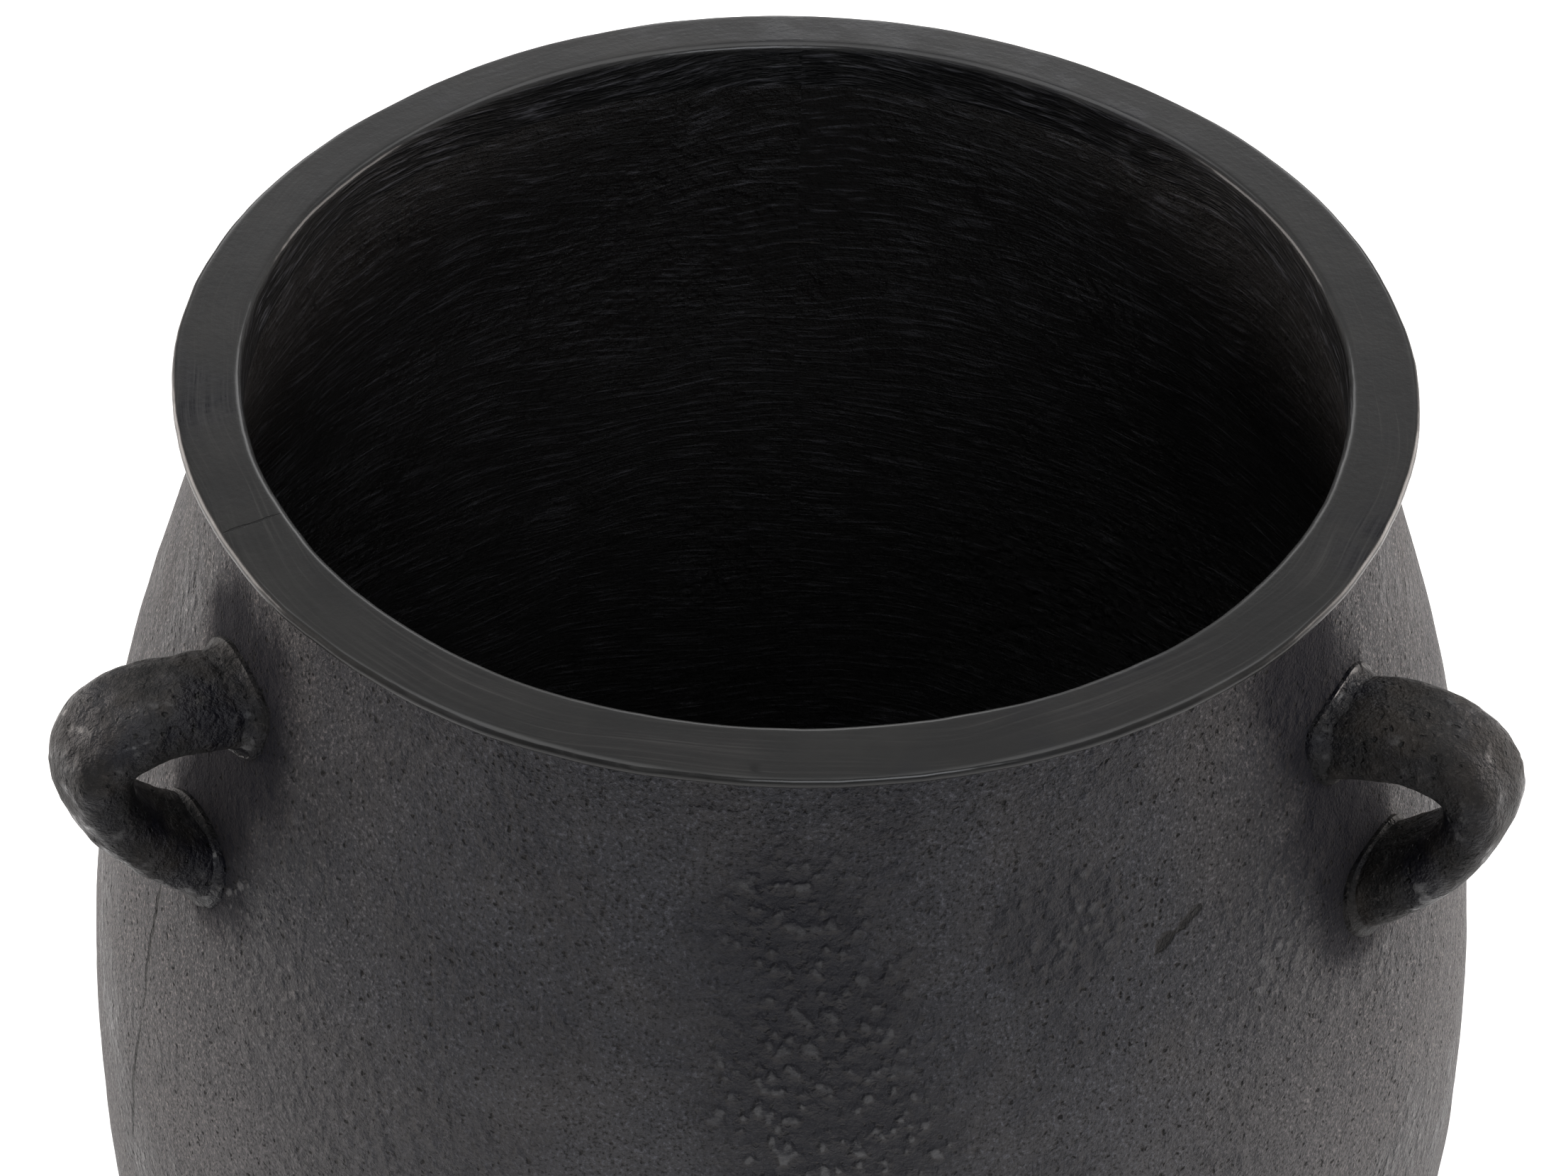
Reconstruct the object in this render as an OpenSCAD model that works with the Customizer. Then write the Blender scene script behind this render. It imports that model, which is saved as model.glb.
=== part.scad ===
// Three-handled black clay pot, built up from a pressed base, wall courses, a rim coil and strap handles.
// Origin at the centre of the underside, +Z up, front of the pot towards -Y.

/* [Body] */
// Height from the underside to the top of the rim
pot_h = 430; // [425:1:450]
// Radius of the flat ring that the pot rests on
base_r = 110; // [95:1:120]
// Largest outside radius, at the belly
belly_r = 200.5; // [199:0.5:206]
// Height of the widest ring above the underside
belly_h = 157; // [150:1:165]
// Outside radius where the neck tucks in under the rim
neck_r = 142; // [141:0.5:143]
// Thickness of the clay wall
wall_t = 9; // [8:0.5:10]
// Thickness of the floor in the middle
floor_t = 11; // [10:0.5:13]

/* [Rim] */
// Outside radius of the rim coil
rim_r = 150; // [149:0.5:152]
// Radius of the mouth
mouth_r = 133.5; // [133:0.5:134.5]
// Height of the half-round lip that overhangs the neck
lip_h = 3; // [2.5:0.5:4]
// Rounding of the rim's inner edge
mouth_round = 2.1; // [1.5:0.1:2.5]

/* [Handles] */
// Direction of each handle seen from above, in degrees from +X
handle_turns = [213, 327, 90];
// Place of the upper root on the wall's line, from 1 at the belly to 2 at the rim
upper_root = 1.74; // [1.73:0.005:1.75]
// Place of the lower root on the wall's line
lower_root = 1.535; // [1.525:0.005:1.545]
// Strap thickness
strap_t = 13.5; // [12:0.5:14]
// Strap width, along the wall
strap_w = 26; // [24:0.5:28]
// How far the luting clay spreads past the strap on every side
wad_spread = 4; // [3:0.5:5]
// How far the luting clay climbs away from the wall
wad_climb = 4; // [3:0.5:5]

/* [Hidden] */

clay = "#3d3c3e";
burnished = "#2f2e31";
brown_clay = "#38322f";
curve_steps = 14;      // straight pieces in each course's outline
arc_steps = 6;         // straight pieces in each rim rounding
strap_steps = 20;      // straight pieces along a handle

// The wall's outer line is two Bezier curves, base to belly and belly to neck. Places on it run from 0 to 2.
lower_curve = [[base_r, 0], [base_r + 42, 4], [belly_r, belly_h - 79], [belly_r, belly_h]];
upper_curve = [
    [belly_r, belly_h], [belly_r, belly_h + 162],
    [neck_r + 4, pot_h - 52], [neck_r, pot_h - lip_h]
];

// Lap joints between the courses, as [place on the outer line, place on the inner line]
floor_lap = [0, 0.12];
bowl_lap = [0.74, 0.69];
belly_lap = [1.22, 1.18];
shoulder_lap = [1.6, 1.56];
rim_lap = [2, 1.94];

function bezier(c, t) =
    pow(1 - t, 3) * c[0] + 3 * pow(1 - t, 2) * t * c[1] + 3 * (1 - t) * t * t * c[2] + pow(t, 3) * c[3];
function bezier_slope(c, t) =
    3 * pow(1 - t, 2) * (c[1] - c[0]) + 6 * (1 - t) * t * (c[2] - c[1]) + 3 * t * t * (c[3] - c[2]);

// A point on a Bezier curve, moved square off it to the left by d
function beside(c, t, d) =
    let (s = bezier_slope(c, t)) bezier(c, t) + d * [-s[1], s[0]] / norm(s);

// A point on the wall, d inside its outer line
function wall_point(u, d = 0) = u <= 1 ? beside(lower_curve, u, d) : beside(upper_curve, u - 1, d);

function arc(centre, r, from, to) =
    [for (i = [0 : arc_steps]) let (a = from + (to - from) * i / arc_steps) centre + r * [cos(a), sin(a)]];

// Section of one wall course between two lap joints
function course_section(low, high) = concat(
    [for (i = [0 : curve_steps]) wall_point(low[0] + (high[0] - low[0]) * i / curve_steps)],
    [for (i = [curve_steps : -1 : 0]) wall_point(low[1] + (high[1] - low[1]) * i / curve_steps, wall_t)]
);

// The middle line of a handle, seen from its side: out from the upper root, over and down to the lower root
upper_root_at = wall_point(upper_root);
lower_root_at = wall_point(lower_root);
strap_curve = [
    upper_root_at, upper_root_at + [42, 21.5],
    lower_root_at + [32, 29.5], lower_root_at
];
root_depth = 20;       // the strap starts this far inside the wall before it is trimmed to it

module course(low, high) {
    rotate_extrude($fn = 96) polygon(course_section(low, high));
}

// The upper body's outer shape, filled and grown by a distance, for trimming what is stuck on the wall
module wall_block(grow = 0) {
    rotate_extrude($fn = 96)
        polygon(concat(
            [[0, belly_h]],
            [for (i = [0 : 2 * curve_steps]) wall_point(1 + i / (2 * curve_steps), -grow)],
            [[0, pot_h - lip_h]]
        ));
}

module base_disc() {
    inner_edge = wall_point(floor_lap[1], wall_t);
    color(clay)
        rotate_extrude($fn = 96)
            polygon([
                [0, 0], wall_point(floor_lap[0]), inner_edge,
                [inner_edge[0] - 12, floor_t], [0, floor_t]
            ]);
}

module lower_bowl() {
    color(clay) course(floor_lap, bowl_lap);
}

module belly_course() {
    color(clay) course(bowl_lap, belly_lap);
}

module shoulder_course() {
    color(clay) course(belly_lap, shoulder_lap);
}

module neck_course() {
    color(clay) course(shoulder_lap, rim_lap);
}

// The rim coil sits on the neck's lap joint and overhangs the neck with a half-round lip
module rim_coil() {
    color(burnished)
        rotate_extrude($fn = 96)
            polygon(concat(
                [wall_point(rim_lap[1], wall_t), wall_point(rim_lap[0])],
                arc([rim_r - lip_h / 2, pot_h - lip_h / 2], lip_h / 2, -90, 90),
                arc([mouth_r + mouth_round, pot_h - mouth_round], mouth_round, 90, 180)
            ));
}

// Side outline of a strap, with both ends carried straight on into the wall
function strap_side(d) = concat(
    [beside(strap_curve, 0, d) - root_depth * unit(strap_curve[1] - strap_curve[0])],
    [for (i = [0 : strap_steps]) beside(strap_curve, i / strap_steps, d)],
    [beside(strap_curve, 1, d) + root_depth * unit(strap_curve[3] - strap_curve[2])]
);
function unit(v) = v / norm(v);
function reversed(list) = [for (i = [len(list) - 1 : -1 : 0]) list[i]];

module strap() {
    rotate([90, 0, 0])
        linear_extrude(strap_w, center = true)
            polygon(concat(strap_side(strap_t / 2), reversed(strap_side(-strap_t / 2))));
}

module handle(turn) {
    color(brown_clay)
        difference() {
            rotate([0, 0, turn]) strap();
            wall_block();
        }
}

// A straight bar along a strap's end, larger than the strap by the spread of the luting clay
module root_bar(at, along) {
    translate([at[0], 0, at[1]])
        rotate([0, 90 - atan2(along[1], along[0]), 0])
            linear_extrude(2 * root_depth, center = true)
                square([strap_t + 2 * wad_spread, strap_w + 2 * wad_spread], center = true);
}

// A collar of soft clay pressed round one root of a handle
module wad(turn, at, along) {
    color(clay)
        difference() {
            intersection() {
                rotate([0, 0, turn]) root_bar(at, along);
                wall_block(wad_climb);
            }
            wall_block();
            rotate([0, 0, turn]) strap();
        }
}

module upper_wad(turn) {
    wad(turn, upper_root_at, strap_curve[1] - strap_curve[0]);
}

module lower_wad(turn) {
    wad(turn, lower_root_at, strap_curve[2] - strap_curve[3]);
}

base_disc();
lower_bowl();
belly_course();
shoulder_course();
neck_course();
rim_coil();
handle(handle_turns[0]);  // handle_front_left
handle(handle_turns[1]);  // handle_front_right
handle(handle_turns[2]);  // handle_back
upper_wad(handle_turns[0]);  // upper_wad_front_left
upper_wad(handle_turns[1]);  // upper_wad_front_right
upper_wad(handle_turns[2]);  // upper_wad_back
lower_wad(handle_turns[0]);  // lower_wad_front_left
lower_wad(handle_turns[1]);  // lower_wad_front_right
lower_wad(handle_turns[2]);  // lower_wad_back
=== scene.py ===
"""A three-handled black clay pot: hand-built courses, a flat rim coil and strap handles.

Every turned piece is one section swept round the axis, and every handle is an oval swept along its bend.
The same uneven hand work runs over all of them, so neighbouring pieces still meet. Metres, +Z up, front -Y.
"""

import math

import bmesh
import bpy
import numpy as np
from mathutils import Matrix, Vector


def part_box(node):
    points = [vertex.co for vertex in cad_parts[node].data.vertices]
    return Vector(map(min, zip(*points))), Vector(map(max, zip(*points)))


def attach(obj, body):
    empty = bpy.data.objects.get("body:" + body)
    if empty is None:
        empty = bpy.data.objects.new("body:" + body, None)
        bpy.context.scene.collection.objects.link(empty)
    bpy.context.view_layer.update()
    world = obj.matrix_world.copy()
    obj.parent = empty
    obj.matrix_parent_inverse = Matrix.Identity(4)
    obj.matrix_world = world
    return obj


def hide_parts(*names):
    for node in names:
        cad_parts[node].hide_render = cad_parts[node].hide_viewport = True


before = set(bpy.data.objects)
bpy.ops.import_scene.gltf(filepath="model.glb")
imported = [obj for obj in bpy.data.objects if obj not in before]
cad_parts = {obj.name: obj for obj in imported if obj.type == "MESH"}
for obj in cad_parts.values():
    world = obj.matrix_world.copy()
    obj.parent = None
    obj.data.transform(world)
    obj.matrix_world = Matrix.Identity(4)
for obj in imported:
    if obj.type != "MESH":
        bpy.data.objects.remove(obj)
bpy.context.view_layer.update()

# ---------------------------------------------------------------- sizes, from the frame where it has them
MM = 0.001
POT_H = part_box("rim_coil")[1].z
RIM_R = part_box("rim_coil")[1].x
BELLY_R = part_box("belly_course")[1].x
BASE_R = 110 * MM
BELLY_H = 157 * MM
NECK_R = 142 * MM
WALL = 9 * MM
FLOOR = 11 * MM
FLOOR_BEND = 12 * MM     # the floor slopes up to the wall over this width
MOUTH_R = 133.5 * MM
LIP_H = 3 * MM
MOUTH_ROUND = 2.1 * MM

HANDLES = {"front_left": 213, "front_right": 327, "back": 90}    # name and direction from +X, degrees
UPPER_ROOT = 1.74        # places of the roots on the wall's line
LOWER_ROOT = 1.535
STRAP_T = 13.5 * MM
STRAP_W = 26 * MM
ROOT_DEPTH = 6 * MM      # a strap goes on this far inside the wall
EYE_CLAY = 1.3 * MM      # a strap is this much fatter on the side of the eye,
ROOT_CLAY = 1.2 * MM     # and this much on both sides where it meets the wall
ROOT_REACH = 0.13        # share of the strap over which its roots thicken it
FLARE_REACH = 0.16       # share of the strap over which its ends widen

# Luting clay smeared round the roots
WAD_SPREAD = 2.2 * MM    # over the wall, give or take the unevenness
WAD_UNEVEN = 1.2 * MM
WAD_CLIMB = 6 * MM       # up the strap
WAD_EDGE = 1.1 * MM      # thickness of its blunt edge
WAD_UNDER = 1 * MM       # reach under the strap's surface
WAD_DEPTH = 3 * MM       # reach into the wall
WAD_WIDER = 1.08         # than the strap
WAD_PROUD = 2 * MM       # of the strap's faces
WAD_SQUARENESS = 0.8
WAD_HOLLOW = 1.7

LOWER_CURVE = np.array([
    [BASE_R, 0], [BASE_R + 42 * MM, 4 * MM], [BELLY_R, BELLY_H - 79 * MM], [BELLY_R, BELLY_H],
])
UPPER_CURVE = np.array([
    [BELLY_R, BELLY_H], [BELLY_R, BELLY_H + 162 * MM],
    [NECK_R + 4 * MM, POT_H - 52 * MM], [NECK_R, POT_H - LIP_H],
])

# Lap joints between the courses: place on the outer line, place on the inner line
FLOOR_LAP = (0, 0.12)
BOWL_LAP = (0.74, 0.69)
BELLY_LAP = (1.22, 1.18)
SHOULDER_LAP = (1.6, 1.56)
RIM_LAP = (2, 1.94)
SEAM_TURN = math.radians(211.3)    # where the two ends of the rim coil meet, from +X

# Fineness of the meshes
CURVE_RUN = 240 * MM     # rough length of either curve of the wall
COURSE_GAP = 1.8 * MM    # between points up a course
BOWL_GAP = 1.4 * COURSE_GAP
LAP_GAP = 3 * MM
LIP_GAP = 1.2 * MM
FLAT_GAP = 1 * MM
STEPS_ROUND = 720
RIM_STEPS_ROUND = 1440
STRAP_STATIONS = 64
STRAP_STEPS_ROUND = 96
WAD_STEPS_ROUND = 96
WAD_STEPS_DOWN = 10
WELD = 0.01 * MM         # points this close become one
CRISP_ANGLE = math.radians(38)    # edges sharper than this stay sharp

# Uneven hand work: the slow wobble of the whole pot, and the size of its waves
WOBBLE = 1.4 * MM
WOBBLE_SIZE = 160 * MM


# ---------------------------------------------------------------- lines of the pot
def bezier(c, t):
    return (1 - t) ** 3 * c[0] + 3 * (1 - t) ** 2 * t * c[1] + 3 * (1 - t) * t * t * c[2] + t**3 * c[3]


def slope(c, t):
    d = 3 * (1 - t) ** 2 * (c[1] - c[0]) + 6 * (1 - t) * t * (c[2] - c[1]) + 3 * t * t * (c[3] - c[2])
    return d / np.linalg.norm(d)


def wall_piece(u):
    """The curve that a place on the wall is on, and how far along. 0 is the base, 1 the belly, 2 the rim."""
    return (LOWER_CURVE, u) if u <= 1 else (UPPER_CURVE, u - 1)


def wall_point(u, depth=0.0):
    curve, t = wall_piece(u)
    s = slope(curve, t)
    return bezier(curve, t) + depth * np.array([-s[1], s[0]])


def arc(centre, radius, start, end, steps):
    turns = np.radians(np.linspace(start, end, steps + 1))
    return [np.array(centre) + radius * np.array([math.cos(a), math.sin(a)]) for a in turns]


def spread_out(points, gap):
    """The same line with points about one gap apart on its straight stretches."""
    line = [points[0]]
    for a, b in zip(points, points[1:]):
        parts = max(1, round(np.linalg.norm(b - a) / gap))
        line += [a + (b - a) * k / parts for k in range(1, parts + 1)]
    return line


def course_section(low, high, gap):
    """Outer line up, lap joint in, inner line down, lap joint out. Each point carries its share of the
    painted inside shade.
    """
    length = abs(high[0] - low[0]) * CURVE_RUN
    outer_steps = max(6, round(length / gap))
    inner_steps = max(4, round(length / (2 * gap)))
    outer_span, inner_span = high[0] - low[0], low[1] - high[1]
    outer = [wall_point(low[0] + outer_span * k / outer_steps) for k in range(outer_steps + 1)]
    inner = [wall_point(high[1] + inner_span * k / inner_steps, WALL) for k in range(inner_steps + 1)]
    top_lap = spread_out([outer[-1], inner[0]], LAP_GAP)[1:-1]
    low_lap = spread_out([inner[-1], outer[0]], LAP_GAP)[1:-1]
    points = outer + top_lap + inner + low_lap
    # The inner line and its laps get the painted inside shade
    shaded_inside = [0] * (len(outer) + len(top_lap)) + [1] * (len(inner) + len(low_lap))
    return points, shaded_inside, True


def base_section():
    """Underside out, lap joint up, and the floor back to the axis."""
    edge = wall_point(FLOOR_LAP[1], WALL)
    under = spread_out([np.array([0.0, 0.0]), wall_point(FLOOR_LAP[0])], LAP_GAP)
    lap = spread_out([under[-1], edge], LAP_GAP)[1:]
    bend = np.array([edge[0] - FLOOR_BEND, FLOOR])
    floor = spread_out([edge, bend, np.array([0.0, FLOOR])], LAP_GAP)[1:]
    # The floor inside gets the painted inside shade
    return under + lap + floor, [0] * len(under) + [1] * (len(lap) + len(floor)), False


def rim_section():
    """Lap joint out, half-round lip, flat top, rounded mouth edge and the short wall below it."""
    lap_in = wall_point(RIM_LAP[1], WALL)
    lap_out = wall_point(RIM_LAP[0])
    lip = arc([RIM_R - LIP_H / 2, POT_H - LIP_H / 2], LIP_H / 2, -90, 90, 10)
    mouth = arc([MOUTH_R + MOUTH_ROUND, POT_H - MOUTH_ROUND], MOUTH_ROUND, 90, 180, 8)
    underside = spread_out([lap_out, lip[0]], LIP_GAP)[:-1]
    flat = spread_out([lip[-1], mouth[0]], FLAT_GAP)[1:-1]
    inside = spread_out([mouth[-1], lap_in], LIP_GAP)[1:]
    lap = spread_out([lap_in, lap_out], LAP_GAP)[1:-1]
    points = underside + lip + flat + mouth + inside + lap
    # Painted inside shade: none on the top, rising from the mouth edge down the inside wall
    shaded_inside = [0] * (len(underside) + len(lip) + len(flat) + 3)
    shaded_inside += [min(1, k / 10) for k in range(1, len(points) - len(shaded_inside) + 1)]
    return points, shaded_inside, True


# ---------------------------------------------------------------- node trees
class Tree:
    """A node tree being written. Values given to a node are numbers or the outputs of other nodes."""

    def __init__(self, tree):
        self.tree = tree

    def node(self, kind, inputs=(), **settings):
        n = self.tree.nodes.new(kind)
        for name, value in settings.items():
            setattr(n, name, value)
        for key, value in dict(inputs).items():
            if isinstance(value, bpy.types.NodeSocket):
                self.tree.links.new(value, n.inputs[key])
            else:
                n.inputs[key].default_value = value
        return n

    def math(self, operation, a, b=0.0, c=0.0):
        return self.node("ShaderNodeMath", {0: a, 1: b, 2: c}, operation=operation).outputs[0]

    def vector(self, operation, a, b=(0, 0, 0)):
        return self.node("ShaderNodeVectorMath", {0: a, 1: b}, operation=operation).outputs[0]

    def measure(self, operation, a, b=(0, 0, 0)):
        return self.node("ShaderNodeVectorMath", {0: a, 1: b}, operation=operation).outputs["Value"]

    def parts(self, a):
        return self.node("ShaderNodeSeparateXYZ", {0: a}).outputs

    def combined(self, x, y=0.0, z=0.0):
        return self.node("ShaderNodeCombineXYZ", {0: x, 1: y, 2: z}).outputs[0]

    def times(self, a, b):
        return self.math("MULTIPLY", a, b)

    def scaled(self, a, by):
        n = self.node("ShaderNodeVectorMath", {0: a}, operation="SCALE")
        if isinstance(by, bpy.types.NodeSocket):
            self.tree.links.new(by, n.inputs["Scale"])
        else:
            n.inputs["Scale"].default_value = by
        return n.outputs[0]

    def whole(self, operation, a, b):
        return self.node("FunctionNodeIntegerMath", {0: a, 1: b}, operation=operation).outputs[0]

    def ramp(self, value, low, high, to_low=0.0, to_high=1.0, smooth=True):
        n = self.node("ShaderNodeMapRange", {0: value, 1: low, 2: high, 3: to_low, 4: to_high})
        n.interpolation_type = "SMOOTHSTEP" if smooth else "LINEAR"
        return n.outputs[0]

    def mix(self, share, a, b):
        n = self.node("ShaderNodeMix", {0: share, 6: a, 7: b}, data_type="RGBA")
        return n.outputs[2]


def new_tree(name, kind, inputs, outputs):
    """A node group with named sockets: (name, socket kind, default) in, (name, socket kind) out."""
    group = bpy.data.node_groups.new(name, kind)
    for label, socket, default in inputs:
        made = group.interface.new_socket(label, in_out="INPUT", socket_type="NodeSocket" + socket)
        if default is not None:
            made.default_value = default
    for label, socket in outputs:
        group.interface.new_socket(label, in_out="OUTPUT", socket_type="NodeSocket" + socket)
    build = Tree(group)
    return build, build.node("NodeGroupInput").outputs, build.node("NodeGroupOutput").inputs


HAND_SETTINGS = [
    ("Wobble", "Float", WOBBLE), ("Wobble size", "Float", WOBBLE_SIZE), ("Presses", "Float", 0.3 * MM),
    ("Press size", "Float", 20 * MM), ("Radial", "Bool", True), ("Seed", "Float", 0.0),
]
PIECE_SETTINGS = [*HAND_SETTINGS, ("Material", "Material", None)]


def make_hand_work():
    """Moves a surface the way hands leave it: a slow wobble of the whole pot and shallow presses."""
    t, given, out = new_tree("hand_work", "GeometryNodeTree", [
        ("Geometry", "Geometry", None), *HAND_SETTINGS], [("Geometry", "Geometry")])
    place = t.node("GeometryNodeInputPosition").outputs[0]
    x, y, z = t.parts(place)
    seeded = t.vector("ADD", place, t.combined(given["Seed"]))
    slow = t.node("ShaderNodeTexNoise", {
        "Vector": place, "Scale": t.math("DIVIDE", 1.0, given["Wobble size"]), "Detail": 1.0})
    press = t.node("ShaderNodeTexNoise", {
        "Vector": seeded, "Scale": t.math("DIVIDE", 1.0, given["Press size"]),
        "Detail": 3.0, "Roughness": 0.55})
    slow_way = t.vector("SUBTRACT", slow.outputs["Color"], (0.5, 0.5, 0.5))
    slow_offset = t.scaled(slow_way, t.times(given["Wobble"], 2.0))
    outward = t.vector("NORMALIZE", t.combined(x, y))
    facing = t.node("GeometryNodeInputNormal").outputs[0]
    way = t.node("GeometryNodeSwitch", {0: given["Radial"], 1: facing, 2: outward}, input_type="VECTOR")
    depth = t.times(t.math("SUBTRACT", press.outputs[0], 0.5), t.times(given["Presses"], 2.0))
    offset = t.vector("ADD", slow_offset, t.scaled(way.outputs[0], depth))
    above_base = t.ramp(z, 0.5 * MM, 30 * MM)
    moved = t.node("GeometryNodeSetPosition", {
        0: given["Geometry"], "Offset": t.scaled(offset, above_base)})
    t.tree.links.new(moved.outputs[0], out[0])
    return t.tree


def finish_surface(t, geometry, given, out):
    """Smooth faces with crisp lap edges, then Realize Instances and Set Material."""
    smooth = t.node("GeometryNodeSetShadeSmooth", {
        "Geometry": geometry, "Shade Smooth": True}, domain="FACE")
    angle = t.node("GeometryNodeInputMeshEdgeAngle").outputs[0]
    crisp = t.node("GeometryNodeSetShadeSmooth", {
        "Geometry": smooth.outputs[0], "Selection": t.math("GREATER_THAN", angle, CRISP_ANGLE),
        "Shade Smooth": False}, domain="EDGE")
    real = t.node("GeometryNodeRealizeInstances", {0: crisp.outputs[0]})
    clay = t.node("GeometryNodeSetMaterial", {0: real.outputs[0], "Material": given["Material"]})
    t.tree.links.new(clay.outputs[0], out[0])


def hand_worked(t, geometry, given, hand_work):
    group = t.node("GeometryNodeGroup", node_tree=hand_work)
    t.tree.links.new(geometry, group.inputs["Geometry"])
    for name, _, _ in HAND_SETTINGS:
        t.tree.links.new(given[name], group.inputs[name])
    return group.outputs[0]


def sampled(t, given, kind, value, row):
    picked = t.node("GeometryNodeSampleIndex", {
        "Geometry": given["Geometry"], "Value": value, "Index": row}, data_type=kind, domain="POINT")
    return picked.outputs[0]


def grid_cells(t, rows, columns):
    """A sheet of faces and, for each of its points, the row and the column that it is in."""
    sheet = t.node("GeometryNodeMeshGrid", {"Vertices X": rows, "Vertices Y": columns}).outputs[0]
    index = t.node("GeometryNodeInputIndex").outputs[0]
    return sheet, t.whole("DIVIDE_FLOOR", index, columns), t.whole("MODULO", index, columns)


def make_turning(hand_work):
    """Turns a section, drawn as points in X and Z, once round the Z axis."""
    t, given, out = new_tree("turned_course", "GeometryNodeTree", [
        ("Geometry", "Geometry", None), ("Steps round", "Int", 360), ("Closed", "Bool", True),
        *PIECE_SETTINGS,
    ], [("Geometry", "Geometry")])
    count = t.node("GeometryNodeAttributeDomainSize", {0: given["Geometry"]}, component="MESH").outputs[0]
    columns = t.whole("ADD", given["Steps round"], 1)
    sheet, row, column = grid_cells(t, t.whole("ADD", count, given["Closed"]), columns)
    row = t.whole("MODULO", row, count)
    turn = t.times(t.math("DIVIDE", column, given["Steps round"]), math.tau)
    point = sampled(t, given, "FLOAT_VECTOR", t.node("GeometryNodeInputPosition").outputs[0], row)
    radius, _, height = t.parts(point)
    # Carries the painted inside shade share to every point round
    shaded_inside = t.node("GeometryNodeInputNamedAttribute", {"Name": "shaded_inside"}, data_type="FLOAT").outputs[0]
    kept = t.node("GeometryNodeStoreNamedAttribute", {
        "Geometry": sheet, "Name": "shaded_inside", "Value": sampled(t, given, "FLOAT", shaded_inside, row)},
        data_type="FLOAT", domain="POINT").outputs[0]
    x, y = (t.times(radius, t.math(wave, turn)) for wave in ("COSINE", "SINE"))
    place = t.combined(x, y, height)
    turned = t.node("GeometryNodeSetPosition", {0: kept, "Position": place}).outputs[0]
    closed = t.node("GeometryNodeMergeByDistance", {0: turned, "Distance": WELD}).outputs[0]
    finish_surface(t, hand_worked(t, closed, given, hand_work), given, out)
    return t.tree


def make_pulling(hand_work):
    """Pulls an oval along a line of points, each with its half thickness and half width as vectors."""
    t, given, out = new_tree("pulled_strap", "GeometryNodeTree", [
        ("Geometry", "Geometry", None), ("Steps round", "Int", 48), ("Squareness", "Float", 0.7),
        *PIECE_SETTINGS,
    ], [("Geometry", "Geometry")])
    count = t.node("GeometryNodeAttributeDomainSize", {0: given["Geometry"]}, component="MESH").outputs[0]
    sheet, row, column = grid_cells(t, count, t.whole("ADD", given["Steps round"], 1))
    turn = t.times(t.math("DIVIDE", column, given["Steps round"]), math.tau)

    def rounded(wave):
        power = t.math("POWER", t.math("ABSOLUTE", wave), given["Squareness"])
        return t.times(t.math("SIGN", wave), power)

    def carried(name):
        value = t.node("GeometryNodeInputNamedAttribute", {"Name": name}, data_type="FLOAT_VECTOR")
        return sampled(t, given, "FLOAT_VECTOR", value.outputs[0], row)

    middle = sampled(t, given, "FLOAT_VECTOR", t.node("GeometryNodeInputPosition").outputs[0], row)
    thick = t.scaled(carried("thick"), rounded(t.math("COSINE", turn)))
    wide = t.scaled(carried("wide"), rounded(t.math("SINE", turn)))
    place = t.vector("ADD", middle, t.vector("ADD", thick, wide))
    pulled = t.node("GeometryNodeSetPosition", {0: sheet, "Position": place}).outputs[0]
    closed = t.node("GeometryNodeMergeByDistance", {0: pulled, "Distance": WELD}).outputs[0]
    finish_surface(t, hand_worked(t, closed, given, hand_work), given, out)
    return t.tree


def make_smearing(hand_work):
    """Works a ready shape of soft clay by hand."""
    t, given, out = new_tree("smeared_clay", "GeometryNodeTree", [
        ("Geometry", "Geometry", None), *PIECE_SETTINGS], [("Geometry", "Geometry")])
    finish_surface(t, hand_worked(t, given["Geometry"], given, hand_work), given, out)
    return t.tree


# ---------------------------------------------------------------- clay finishes
UNROLL_R = 160 * MM      # the wall is laid flat at this radius


def group_in(t, tree, inputs=()):
    n = t.node("ShaderNodeGroup", node_tree=tree)
    for name, value in dict(inputs).items():
        if isinstance(value, bpy.types.NodeSocket):
            t.tree.links.new(value, n.inputs[name])
        else:
            n.inputs[name].default_value = value
    return n.outputs


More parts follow.
